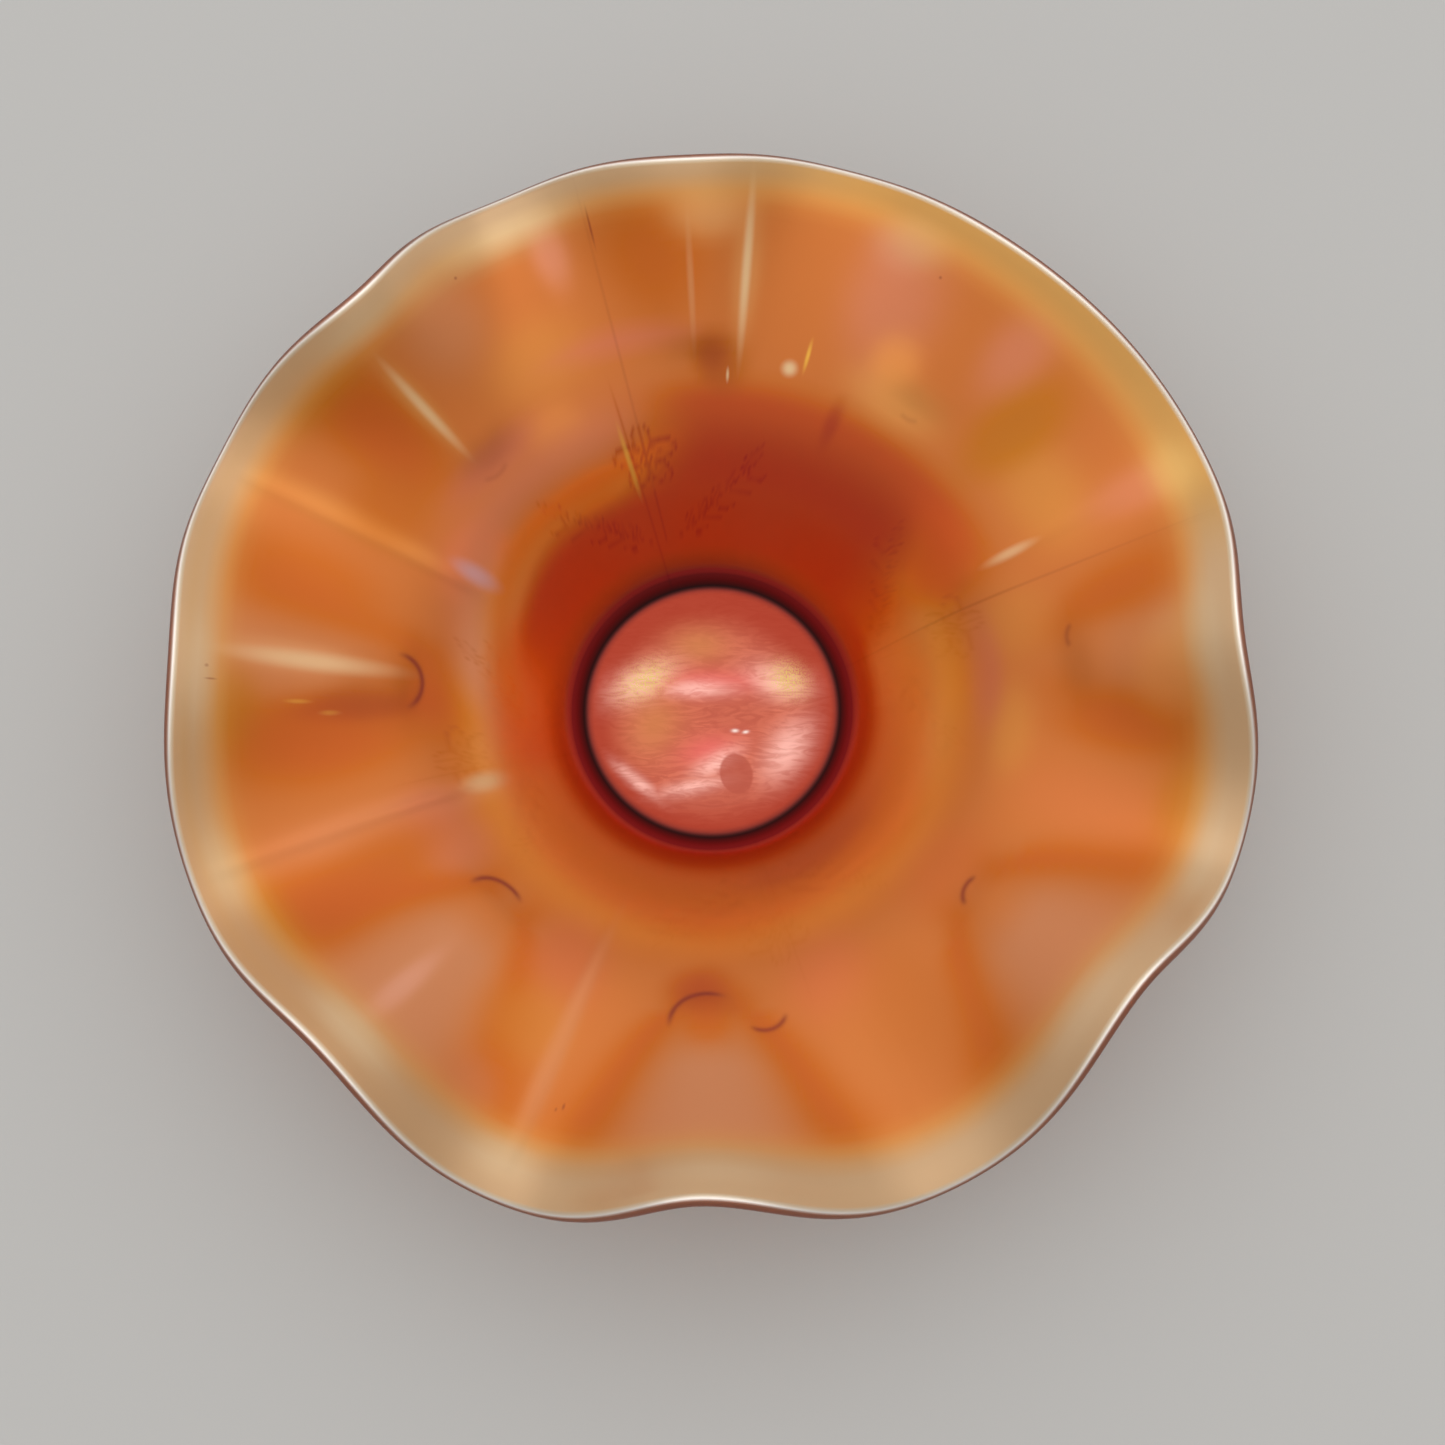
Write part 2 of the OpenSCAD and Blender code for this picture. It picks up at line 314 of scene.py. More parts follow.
class Shell:
    """Loops of points, each joined to the one before it, with marks for the material at every point."""

    def __init__(self):
        self.points, self.faces, self.marks = [], [], []
        self.count = 0
        self.first = self.last = None

    def add(self, xyz, angles, marks):
        """A loop. marks holds rows of wrap, zone and paint, each three values a point."""
        loop = self.count, angles
        self.points.append(xyz)
        self.marks.append(marks)
        self.count += len(angles)
        if self.last is None:
            self.first = loop
        else:
            self.join(self.last, loop)
        self.last = loop

    def join(self, lower, upper):
        """Faces between two loops, which may have different numbers of points."""
        (a0, a_angles), (b0, b_angles) = lower, upper
        na, nb = len(a_angles), len(b_angles)
        if na == nb:
            for i in range(na):
                j = (i + 1) % na
                self.faces.append((a0 + i, a0 + j, b0 + j, b0 + i))
            return
        i = j = 0
        while i < na or j < nb:
            next_a = a_angles[i + 1] if i + 1 < na else 360 + (0 if i < na else 1)
            next_b = b_angles[j + 1] if j + 1 < nb else 360 + (0 if j < nb else 1)
            here_a, here_b = a0 + i % na, b0 + j % nb
            if j >= nb or (i < na and next_a <= next_b):
                self.faces.append((here_a, a0 + (i + 1) % na, here_b))
                i += 1
            else:
                self.faces.append((here_a, b0 + (j + 1) % nb, here_b))
                j += 1

    def cap(self, xyz, mark, at_start):
        """Closes the first loop, or the last one, at one point."""
        start, angles = self.first if at_start else self.last
        self.points.append(xyz[None])
        self.marks.append([m[None] for m in mark])
        centre = self.count
        self.count += 1
        n = len(angles)
        for i in range(n):
            a, b = start + i, start + (i + 1) % n
            self.faces.append((b, a, centre) if at_start else (a, b, centre))


# Round the rim, from the outside to the inside: share of metal, and base colour. The brown loops give a dark
# line along the outer edge, and the near-white loop is a painted highlight line.
RIM_LOOPS = [
    (0.3, (0.36, 0.10, 0.05)),
    (0.3, (0.36, 0.10, 0.05)),
    (0.3, (0.40, 0.12, 0.06)),
    (0.3, (0.44, 0.14, 0.08)),
    (0.3, (0.46, 0.16, 0.09)),
    (0.3, (0.50, 0.20, 0.12)),
    (0.8, (0.96, 0.90, 0.84)),
    (0.4, (0.78, 0.64, 0.46)),
]
FLOOR_METAL = 0.7

# Angle steps of the mesh, in degrees.
FINE_STEP, COARSE_STEP = 0.6, 1.8

# Marks for what isn't wall: lengths before its start, and distances from the band far outside and inside it.
RING_ALONG, UNDERSIDE_ALONG = -100, -200
FAR_BELOW_BAND, ON_RIM = -60, 20


def band_width(angles):
    """Width of the clear band along the rim: wider on the near side."""
    return 7.2 - 2.6 * np.sin(np.radians(angles)) + 0.5 * np.sin(np.radians(3 * angles + 40))


# ---------------------------------------------------------------- the lustre, with painted light and shade, painted on the wall

# Colours as they should look in the picture, red green blue from 0 to 255.
ORANGE = (192, 106, 54)
DEEP = (188, 88, 26)
GOLD = (204, 130, 62)
OLIVE = (178, 104, 28)
PEACH = (194, 125, 88)
ROSE = (208, 126, 108)
VIOLET = (190, 100, 80)
BROWN_GOLD = (190, 96, 36)
CLAY = (160, 74, 38)
CUP_RED_AND_SHADE = (153, 31, 0)
SCARLET = (210, 76, 32)
# Painted glow of light focused through the ruffles.
FOCUSED_LIGHT_ORANGE = (240, 94, 26)
FAR_SIDE_SHADE_UMBER = (184, 75, 0)
CHAMPAGNE = (184, 149, 112)
HONEY = (182, 132, 72)

# From the foot up over the heel: length along the wall, and colour. The darkest tints by the foot are painted
# shade of the foot ring, and the lighter step at 3 mm is a painted highlight line.
HEEL_TINTS = [
    (0, (66, 12, 24)), (0.9, (56, 8, 14)), (1.9, (96, 18, 8)), (3, (148, 40, 14)), (4, (112, 24, 8)),
    (5, (146, 40, 12)), (6, (144, 36, 8)), (9, (150, 38, 12)), (12, (158, 44, 10)),
]

# Many patches are lustre colour. Others are painted light: painted highlights beside the glint lines, along
# the trough creases and on the pads; painted reflections of bright light on the far side; a painted glow of
# light focused through the ruffles near the cup's edge on the left; and painted shade below the crescents.
# Soft patches: angle, length up the wall, half width in degrees, half length in mm, colour, strength.
LUSTRE_AND_LIGHT_PATCHES = [
    (30, 66, 9, 9, GOLD, 0.7), (57, 58, 9, 6, (214, 142, 76), 0.8), (40, 70, 5, 14, OLIVE, 0.75),
    (46.5, 81, 4, 11, ROSE, 0.5), (64, 76, 7, 15, ROSE, 0.5), (24, 84, 3, 12, ROSE, 0.4),
    (87.5, 55, 4, 6, (156, 76, 20), 0.6), (97, 80, 7, 14, DEEP, 0.6), (78, 76, 5, 14, ORANGE, 0.4),
    (110, 84, 2.5, 8, (212, 134, 112), 0.6), (118, 64, 9, 9, GOLD, 0.5), (127, 82, 6, 12, PEACH, 0.6),
    (142, 73, 5.5, 17, DEEP, 0.9), (155, 66, 2.2, 26, (212, 132, 68), 0.7), (165, 72, 5, 16, DEEP, 0.5),
    (189, 66, 6, 20, DEEP, 0.9), (184, 62, 2, 12, (168, 70, 24), 0.5),
    (203, 62, 3.5, 30, (204, 124, 84), 0.7), (204, 47, 5, 9, (192, 106, 74), 0.7),
    (243, 48, 8, 10, (192, 98, 60), 0.7), (243, 64, 6, 8, GOLD, 0.5),
    (248, 66, 1.6, 26, (200, 128, 88), 0.6), (240, 82, 4, 7, (192, 112, 76), 0.6),
    (293, 50, 9, 10, (198, 102, 62), 0.7), (295, 66, 6, 12, (194, 112, 60), 0.5),
    (322, 46, 10, 8, (196, 98, 50), 0.6), (342, 70, 6, 18, (196, 106, 60), 0.6),
    (354, 72, 4, 14, DEEP, 0.7), (352, 48, 9, 5, GOLD, 0.6), (12, 50, 7, 9, GOLD, 0.4),
    (12, 74, 4, 12, DEEP, 0.5), (24, 37, 4, 4, (196, 86, 20), 0.6), (4, 42, 12, 4, VIOLET, 0.55),
    (6, 30, 14, 10, (204, 102, 30), 0.6), (190, 30, 14, 6, (204, 112, 48), 0.6),
    (305, 17, 26, 6, CLAY, 0.7), (190, 17, 10, 8, SCARLET, 0.8), (165, 20, 12, 8, (182, 56, 20), 0.7),
    (30, 18, 12, 8, (170, 50, 10), 0.5), (345, 86, 6, 6, OLIVE, 0.5), (184, 86, 5, 6, OLIVE, 0.5),
    (143, 88, 6, 4, OLIVE, 0.4), (267, 47, 5, 4, (172, 74, 26), 0.5), (212, 70, 4.5, 18, DEEP, 0.5),
    (85, 74, 2, 14, (206, 140, 84), 0.6), (136, 72, 1.6, 13, (206, 142, 78), 0.6),
    (177, 72, 2, 18, (212, 150, 104), 0.6), (183, 58, 2.5, 10, (166, 76, 30), 0.7),
    (4, 86, 4, 7, (204, 142, 92), 0.6), (226, 76, 1.6, 11, (216, 150, 126), 0.6),
    (104, 62, 12, 3, (200, 108, 84), 0.6), (133, 52, 12, 4, (200, 106, 92), 0.5),
    (212, 46, 7, 8, (196, 108, 84), 0.5), (66, 88, 4, 6, (210, 138, 112), 0.5), (145, 39, 3, 3, FOCUSED_LIGHT_ORANGE, 0.6),
    (118, 92, 10, 5, CHAMPAGNE, 0.8), (65.5, 47, 1.5, 5, (150, 54, 14), 0.5),
    (90, 88, 5, 6, (222, 158, 100), 0.7), (270, 48, 5, 6, (170, 70, 18), 0.6),
    (270, 56, 4, 5, (195, 84, 14), 0.5), (180, 38, 10, 12, (188, 78, 10), 0.6),
    (211, 80, 7, 12, (182, 86, 28), 0.6), (0, 82, 5, 7, (214, 132, 70), 0.6),
    (120, 48, 6, 6, (232, 144, 66), 0.6), (60, 65, 4, 6, (236, 150, 76), 0.6),
    (150, 42, 8, 6, (224, 112, 74), 0.6), (30, 30, 8, 10, (206, 62, 6), 0.6),
    (302, 63, 6, 14, (180, 98, 46), 0.5), (210, 89, 6, 6, (176, 98, 24), 0.6),
    (33, 42, 11, 7, (212, 86, 0), 0.6), (208, 60, 5, 14, (176, 84, 28), 0.5),
    (241, 64, 6, 9, (182, 98, 40), 0.4), (300, 63, 9, 14, (182, 98, 46), 0.4),
    (150, 62, 7, 10, (176, 86, 24), 0.5), (180, 56, 6, 8, (166, 80, 30), 0.4),
    (90, 57, 3, 5, (152, 66, 8), 0.5), (180, 31, 9, 6, (192, 84, 0), 0.6),
    (120, 32, 6, 5, (250, 98, 20), 0.6), (150, 40, 8, 6, (240, 118, 70), 0.5),
    (188, 24, 20, 5, (216, 102, 36), 0.5),
]

# Soft glares on the clear band, in the same order of values.
BAND_GLARES = [
    (226, 91, 6, 4, (206, 180, 142), 0.6), (247, 91, 4, 4, (204, 174, 134), 0.5),
    (202, 92, 5, 4, (200, 168, 124), 0.5), (180, 94, 6, 3, (200, 172, 138), 0.5),
    (4, 92, 6, 4, (198, 174, 140), 0.5), (113, 92, 7, 3, (204, 178, 140), 0.5),
    (318, 92, 6, 4, (200, 170, 134), 0.5), (272, 92, 6, 3, (196, 166, 130), 0.4),
    (340, 93, 6, 3, (194, 168, 134), 0.4), (135, 94, 5, 3, (194, 170, 134), 0.4),
    (64, 90, 4, 5, (208, 164, 108), 0.4), (24, 92, 4, 5, (206, 164, 96), 0.5),
]

# How far the painted shade along the edges of the moulded flowers and leaves, and the darker seams, darken
# the red, green and blue of the lustre.
OUTLINE_DARKENING = np.array([0.18, 0.34, 0.5])

# The pale pads that the crimping tool pressed: angle, lower end on the wall, how fast they widen,
# and strength.
PADS = [
    (4, 60, 0.7, 0.5),
    (177.5, 45, 0.5, 0.6),
    (227, 47, 1.3, 0.95),
    (270.5, 53, 1.4, 0.95),
    (321.5, 57, 1.4, 0.9),
]


def over(paint, share, tint):
    """Lays a tint over the paint, where share is from 0 to 1."""
    return paint + share[..., None] * (np.array(tint, float) - paint)


def patched(paint, u, a, patches):
    """Lays soft patches over the paint, one after another."""
    for at, where, half_a, half_u, tint, strength in patches:
        x, y = turn_from(a, at) / half_a, (u - where) / half_u
        paint = over(paint, strength * bell(np.hypot(x, y) ** 1.5), tint)
    return paint


def red_edge(angles):
    """How far up the wall the deep red, partly painted shade, reaches: to the flare on the far side, over the
    heel elsewhere.
    """
    a = angles % 360
    rise = 25 - 6 * smooth((a - 88) / 28)
    return 11 + rise * smooth((a - 14) / 30) * (1 - smooth((a - 130) / 80))


def painted(us, angles):
    """Colour that each point of the wall should show."""
    u, a = us[:, None] + 0 * angles[None, :], (angles % 360)[None, :] + 0 * us[:, None]
    paint = np.zeros(u.shape + (3,)) + ORANGE
    paint = over(paint, 1 - smooth((u - 32) / 14), BROWN_GOLD)
    # The far side of the cup is painted a darker umber up to the flare: painted shade where the far wall
    # reflects no bright light.
    far = smooth((a - 17) / 26) * (1 - smooth((a - 88) / 26))
    left = smooth((a - 92) / 24) * (1 - smooth((a - 172) / 26))
    paint = over(paint, 0.9 * far * (1 - smooth((u - 46) / 8)), FAR_SIDE_SHADE_UMBER)
    paint = over(paint, 0.6 * bell((u - 23) / 6) * (1 - far) * (1 - left), (196, 112, 36))
    for at, end, widening, strength in PADS:
        x = np.abs(turn_from(a, at))
        edge = 1.5 + widening * np.sqrt(np.maximum(u - end, 0))
        away = (x - 1.35 * edge - 3.0) / (3.2 + 0.05 * np.maximum(u - end, 0))
        flank = bell(away) * smooth((u - end + 12) / 16) * (1 - smooth((u - 80) / 14))
        paint = over(paint, 0.85 * strength * flank, DEEP)
        pad = bell((x / (edge + 1.5)) ** 1.7) * smooth((u - end - 1) / 14) * (1 - smooth((u - 90) / 6))
        paint = over(paint, 0.9 * strength * pad, PEACH)
    paint = patched(paint, u, a, LUSTRE_AND_LIGHT_PATCHES)
    # The deep red of the cup is its deeper colour with painted shade over it. It is deepest by the foot,
    # reaches to the flare on the far side, and is held back on the right by bright_side.
    past = u - red_edge(angles)[None, :]
    paint = over(paint, 0.85 * left * bell((past - 14) / 6.5), (206, 118, 82))
    soft = 5.5 + 4 * far
    red = 1 - smooth((past + soft) / (2 * soft))
    bright_side = (1 - smooth((a - 20) / 28)) * (a < 100) * smooth((u - 10) / 5)
    cup = over(paint, red * (1 - 0.65 * bright_side), CUP_RED_AND_SHADE)
    keep = bell((a - 183) / 18) * bell((u - 18) / 9) * (a > 120)
    paint = over(cup, 0.8 * keep, SCARLET)
    # A painted glow of light focused through the ruffles, along the edge of the red on the left.
    paint = over(paint, 0.8 * left * bell((past - 4.5) / 3.5), FOCUSED_LIGHT_ORANGE)
    stops = [at for at, tint in HEEL_TINTS]
    heel = np.stack([np.interp(u, stops, [tint[k] for at, tint in HEEL_TINTS]) for k in range(3)], -1)
    # Painted shade: the heel is darker towards the far side.
    heel = heel * (0.98 - 0.18 * bell((a - 105) / 50))[..., None]
    share = 1 - smooth((u - 7.5) / 6)
    paint = paint + share[..., None] * (heel - paint)
    band = u - (WALL_LEN - band_width(angles))[None, :]
    gold_side = smooth((a - 10) / 14) * (1 - smooth((a - 70) / 24))
    glass = over(np.zeros_like(paint) + CHAMPAGNE, gold_side, HONEY)
    # Painted shade over the clear band, at about 212 and 150 degrees round.
    dim = bell((a - 212) / 26) + 0.5 * bell((a - 150) / 16)
    glass = over(glass, 0.7 * np.clip(dim, 0, 1), (172, 124, 84))
    paint = over(paint, 0.6 * bell((band - 0.5) / 4.5), (206, 148, 76))
    glass = over(glass, 0.7 * bell((u - 95.2) / 0.7) * bell((a - 185) / 35), (188, 128, 62))
    share = smooth((band + 4) / 8)
    return patched(paint + share[..., None] * (glass - paint), u, a, BAND_GLARES)


def metal_share(us, angles):
    """How far the inside acts as coloured metal: least on the clear band, most on the dark heel."""
    band = us[:, None] - (WALL_LEN - band_width(angles))[None, :]
    heel = 1 - smooth((us[:, None] - 2.5) / 5)
    return 0.45 - 0.1 * smooth((band + 4) / 8) + 0.45 * heel


def base_colour(paint, us, metal):
    """The base colour with which the glass shows the painted colour, by length up the wall only:
    shown = glare + gain * ((1 - squared) * base + squared * base ** 2), as light bounces more in the cup."""
    shown = np.maximum((paint / 255 + 0.055) / 1.055, 0.06) ** 2.4
    u, metal = us[:, None, None], metal[..., None]
    open_wall = smooth((u - 26) / 18)
    flat = 1 - smooth((u - 2) / 6)
    gain = 0.5 + 0.24 * open_wall
    gain = gain + flat * (1.7 * metal + 0.3 * (1 - metal) - gain)
    gain = gain + smooth((u - 86) / 8) * (0.63 - gain)
    squared = 0.75 - 0.55 * open_wall - 0.7 * flat
    glare = 0.003 + 0.018 * open_wall + 0.055 * flat * (1 - metal)
    target = np.maximum((shown - glare) / gain, 0.0003)
    target = target / np.maximum(target.max(-1, keepdims=True), 1)
    plain = 1 - squared
    return np.clip((np.sqrt(plain ** 2 + 4 * squared * target) - plain) / (2 * squared), 0.0005, 1)


def round_loop(shell, r, z, angles, along, inside):
    """A level circle of the foot or the floor."""
    a = np.radians(angles)
    xyz = np.stack([r * np.cos(a), r * np.sin(a), 0 * a + z], -1)
    zero = 0 * a
    wrap = np.stack([np.cos(a), np.sin(a), zero + along / WALL_LEN], -1)
    none = np.stack([zero, zero, zero], -1)
    zone = np.stack([zero + inside, zero + FLOOR_METAL, zero + FAR_BELOW_BAND], -1)
    shell.add(xyz, angles, [wrap, zone, none])


def wall_loops(shell, us, angles, outside):
    """One side of the wall, with the pattern on the outside and its shade in the paint of both."""
    points, inward, _, r = wall(us, angles)
    half = (thickness(us) / 2)[:, None] + 0 * r
    flowers, seams = relief(us, angles, r)
    outline = bell((flowers / RELIEF_H - 0.45) / 0.3) + 0.5 * seams / SEAM_H
    if not outside:
        flowers, seams = 0 * r, 0 * r
    groove = crescents(us, angles, r) if outside else 0 * r
    side = -1 if outside else 1
    xyz = points + inward * (half * side - flowers - seams + CRESCENT_DEPTH * groove)[..., None]
    a = np.radians(angles)
    metal = metal_share(us, angles)
    shades = painted(us, angles)
    # The edges of the moulded pattern get painted shade, stronger towards the far side.
    far_side = np.clip(0.3 + 0.7 * np.sin(np.radians(angles - 15)), 0.15, 1)[None, :]
    outline = np.clip(outline, 0, 1) * far_side * (1 - smooth((us - 46) / 10))[:, None]
    shades = shades * (1 - outline[..., None] * OUTLINE_DARKENING)
    paint = base_colour(shades, us, metal)
    for i, u in enumerate(us):
        zero = 0 * a
        wrap = np.stack([np.cos(a), np.sin(a), zero + u / WALL_LEN], -1)
        band = u - (WALL_LEN - band_width(angles))
        zone = np.stack([zero + (0 if outside else 1), metal[i], band], -1)
        shell.add(xyz[i], angles, [wrap, zone, paint[i]])


def rim_loops(shell, angles):
    """The rounded edge, from the outside to the inside."""
    top = np.array([float(WALL_LEN)])
    points, inward, uphill, _ = wall(top, angles)
    half = thickness(WALL_LEN) / 2
    steps = len(RIM_LOOPS) + 1
    for i in range(1, steps):
        turn = math.pi * (1 - i / steps)
        xyz = points[0] + half * (math.cos(turn) * inward[0] + math.sin(turn) * uphill[0])
        zero = 0 * angles
        a = np.radians(angles)
        wrap = np.stack([np.cos(a), np.sin(a), zero + 1], -1)
        metal, tint = RIM_LOOPS[i - 1]
        zone = np.stack([zero + 1, zero + metal, zero + ON_RIM + math.sin(turn)], -1)
        shell.add(xyz, angles, [wrap, zone, np.tile(tint, (len(angles), 1))])


def make_bowl():
    """The whole bowl: underside, foot, outside, rim, inside and floor, in that order."""
    fine = columns()
    coarse = np.arange(0, 360, COARSE_STEP)
    shell = Shell()
    # Underside of the floor, from its middle to the ring, slightly domed.
    for r in np.linspace(2.5, FLOOR_R, 9):
        dome = UNDERSIDE_DOME * (1 - (r / FLOOR_R) ** 2)
        round_loop(shell, r, FOOT_H + dome, coarse, r + UNDERSIDE_ALONG, 0)
    outer = np.array([float(FOOT_W)])
    joint_r, joint_z = (values[0, 0] for values in under_heel(outer))
    low_in, low_out = FLOOR_R + FOOT_DRAFT + FOOT_EDGE, FOOT_R - FOOT_DRAFT - FOOT_EDGE
    ring = [(FLOOR_R + FOOT_DRAFT * t, FOOT_H + (FOOT_EDGE - FOOT_H) * t) for t in (0.1, 0.5, 1)]
    for turn in (210, 240, 270):
        a = math.radians(turn)
        ring.append((low_in + FOOT_EDGE * math.cos(a), FOOT_EDGE + FOOT_EDGE * math.sin(a)))
    for turn in (270, 300, 330, 360):
        a = math.radians(turn)
        ring.append((low_out + FOOT_EDGE * math.cos(a), FOOT_EDGE + FOOT_EDGE * math.sin(a)))
    foot_top = FOOT_R - FOOT_DRAFT
    ring += [(foot_top + (joint_r - foot_top) * t, FOOT_EDGE + (joint_z - FOOT_EDGE) * t) for t in (0.5, 0.9)]
    for r, z in ring:
        round_loop(shell, r, z, coarse, RING_ALONG, 0)
    outside = np.concatenate([
        np.linspace(FOOT_W, 14, 9), np.linspace(15, 50, 42), np.linspace(52, 90, 17), np.linspace(92, 98, 4)])
    wall_loops(shell, outside, fine, True)
    rim_loops(shell, fine)
    inside = np.concatenate([
        np.linspace(98, 92, 4), np.linspace(89, 50, 17), np.linspace(48.8, 16, 29), np.linspace(14, 0.5, 9)])
    wall_loops(shell, inside, fine, False)
    for r in np.concatenate([np.linspace(FLOOR_R - 0.5, 4, 16), [2]]):
        dish = FLOOR_DISH * (1 - smooth(r / FLOOR_R))
        round_loop(shell, r, FLOOR_TOP - dish, coarse, r - FLOOR_R, 1)
    down = [np.array([0, 0, UNDERSIDE_ALONG / WALL_LEN]), np.array([0, 0, FAR_BELOW_BAND]), np.zeros(3)]
    shell.cap(np.array([0, 0, FOOT_H + UNDERSIDE_DOME]), down, True)
    up = [np.array([0, 0, -FLOOR_R / WALL_LEN]), np.array([1, FLOOR_METAL, FAR_BELOW_BAND]), np.zeros(3)]
    shell.cap(np.array([0, 0, FLOOR_TOP - FLOOR_DISH]), up, False)

    mesh = bpy.data.meshes.new("bowl_glass")
    points = np.concatenate(shell.points) * MM
    mesh.from_pydata(points.tolist(), [], shell.faces)
    for k, name in enumerate(("wrap", "zone", "paint")):
        values = np.concatenate([m[k] for m in shell.marks]).astype(np.float32)
        layer = mesh.attributes.new(name, "FLOAT_VECTOR", "POINT")
        layer.data.foreach_set("vector", values.ravel())
    mesh.polygons.foreach_set("use_smooth", np.ones(len(mesh.polygons), bool))
    mesh.update()
    obj = bpy.data.objects.new("bowl_glass", mesh)
    bpy.context.scene.collection.objects.link(obj)
    return obj


# ---------------------------------------------------------------- material helpers

def linear(red, green, blue):
    """An sRGB colour, 0 to 255, as linear values."""
    def channel(c):
        c /= 255
        return c / 12.92 if c <= 0.04045 else ((c + 0.055) / 1.055) ** 2.4
    return channel(red), channel(green), channel(blue), 1.0


class Nodes:
    """Short calls that add nodes to one material. Most inputs may be a socket or a plain value."""

    def __init__(self, name):
        self.material = bpy.data.materials.new(name)
        self.material.use_nodes = True
        self.tree = self.material.node_tree
        self.tree.nodes.clear()

    def add(self, kind, **settings):
        node = self.tree.nodes.new(kind)
        for key, value in settings.items():
            setattr(node, key, value)
        return node

    def feed(self, socket, value):
        if isinstance(value, bpy.types.NodeSocket):
            self.tree.links.new(value, socket)
        else:
            socket.default_value = value

    def math(self, operation, a, b=0.0):
        node = self.add("ShaderNodeMath", operation=operation)
        self.feed(node.inputs[0], a)
        self.feed(node.inputs[1], b)
        return node.outputs[0]

    def rise(self, value, low, high):
        """0 below low, 1 above high, smooth between."""
        node = self.add("ShaderNodeMapRange", interpolation_type="SMOOTHSTEP")
        self.feed(node.inputs["Value"], value)
        node.inputs["From Min"].default_value = low
        node.inputs["From Max"].default_value = high
        return node.outputs["Result"]

    def scaled(self, vector, x, y, z):
        node = self.add("ShaderNodeVectorMath", operation="MULTIPLY")
        self.feed(node.inputs[0], vector)
        node.inputs[1].default_value = (x, y, z)
        return node.outputs["Vector"]

    def split(self, vector):
        node = self.add("ShaderNodeSeparateXYZ")
        self.feed(node.inputs[0], vector)
        return node.outputs

    def attribute(self, name):
        return self.add("ShaderNodeAttribute", attribute_name=name).outputs["Vector"]

    def noise(self, vector, scale, detail=2.0, distortion=0.0):
        node = self.add("ShaderNodeTexNoise")
        self.feed(node.inputs["Vector"], vector)
        node.inputs["Scale"].default_value = scale
        node.inputs["Detail"].default_value = detail
        node.inputs["Distortion"].default_value = distortion
        return node.outputs["Fac"]

    def mix(self, factor, a, b):
        node = self.add("ShaderNodeMix", data_type="RGBA")
        self.feed(node.inputs[0], factor)
        self.feed(node.inputs[6], a)
        self.feed(node.inputs[7], b)
        return node.outputs[2]

    def product(self, *factors):
        result = factors[0]
        for factor in factors[1:]:
            result = self.math("MULTIPLY", result, factor)
        return result

    def less(self, value, low, high):
        """1 below low, 0 above high, smooth between."""
        return self.math("SUBTRACT", 1.0, self.rise(value, low, high))

    def fall(self, distance):
        """A soft bell: 1 at distance 0, and nearly 0 at distance 1.5."""
        return self.math("EXPONENT", self.math("MULTIPLY", self.math("MULTIPLY", distance, distance), -1.5))

    def bump_at(self, value, middle, half_w):
        """A soft bell round one value."""
        return self.fall(self.math("DIVIDE", self.math("SUBTRACT", value, middle), half_w))

    def length(self, vector):
        """Distance from the bowl's axis."""
        x, y = self.split(vector)[:2]
        return self.math("SQRT", self.math("ADD", self.product(x, x), self.product(y, y)))

    def moved(self, vector, x, y, z):
        node = self.add("ShaderNodeVectorMath", operation="ADD")
        self.feed(node.inputs[0], vector)
        node.inputs[1].default_value = (x, y, z)
        return node.outputs["Vector"]

    def dot(self, vector, x, y, z):
        node = self.add("ShaderNodeVectorMath", operation="DOT_PRODUCT")
        self.feed(node.inputs[0], vector)
        node.inputs[1].default_value = (x, y, z)
        return node.outputs["Value"]

    def beside(self, place, at):
        """Distance in mm from the line at this angle round the bowl, and 1 on its own side of the axis."""
        a = math.radians(at)
        across = self.dot(place, -math.sin(a), math.cos(a), 0)
        own_side = self.rise(self.dot(place, math.cos(a), math.sin(a), 0), 0, 1)
        return across, own_side

    def spot(self, place, u, at, where, long, wide):
        """A soft-edged oval on the wall, at this angle and length up it, in mm."""
        across, own_side = self.beside(place, at)
        x = self.math("DIVIDE", across, wide)
        y = self.math("DIVIDE", self.math("SUBTRACT", u, where), long)
        away = self.math("SQRT", self.math("ADD", self.product(x, x), self.product(y, y)))
        return self.product(self.less(away, 0.1, 1.4), own_side)

    def arc(self, place, u, at, end, radius, mid, half_turn):
        """A thin crescent on the wall, for the painted shade in a crescent groove."""
        across, own_side = self.beside(place, at)
        up = self.math("SUBTRACT", u, end + radius)
        away = self.math("SQRT", self.math("ADD", self.product(across, across), self.product(up, up)))
        ring = self.bump_at(away, radius, CRESCENT_HALF_W)
        m = math.radians(mid)
        # cosine of the turn from the middle of the arc, times the distance
        facing = self.math("ADD", self.product(across, math.sin(m)), self.product(up, -math.cos(m)))
        cosine = self.math("DIVIDE", facing, self.math("MAXIMUM", away, 0.1))
        ends = self.rise(cosine, math.cos(math.radians(half_turn)), math.cos(math.radians(half_turn * 0.5)))
        return self.product(ring, ends, own_side)

    def oval(self, x, y, at_x, at_y, long, wide, turn):
        """A soft oval in the plane of the floor."""
        c, s = math.cos(math.radians(turn)), math.sin(math.radians(turn))
        dx, dy = self.math("SUBTRACT", x, at_x), self.math("SUBTRACT", y, at_y)
        a = self.math("ADD", self.product(dx, c / long), self.product(dy, s / long))
        b = self.math("ADD", self.product(dx, -s / wide), self.product(dy, c / wide))
        return self.fall(self.math("SQRT", self.math("ADD", self.product(a, a), self.product(b, b))))

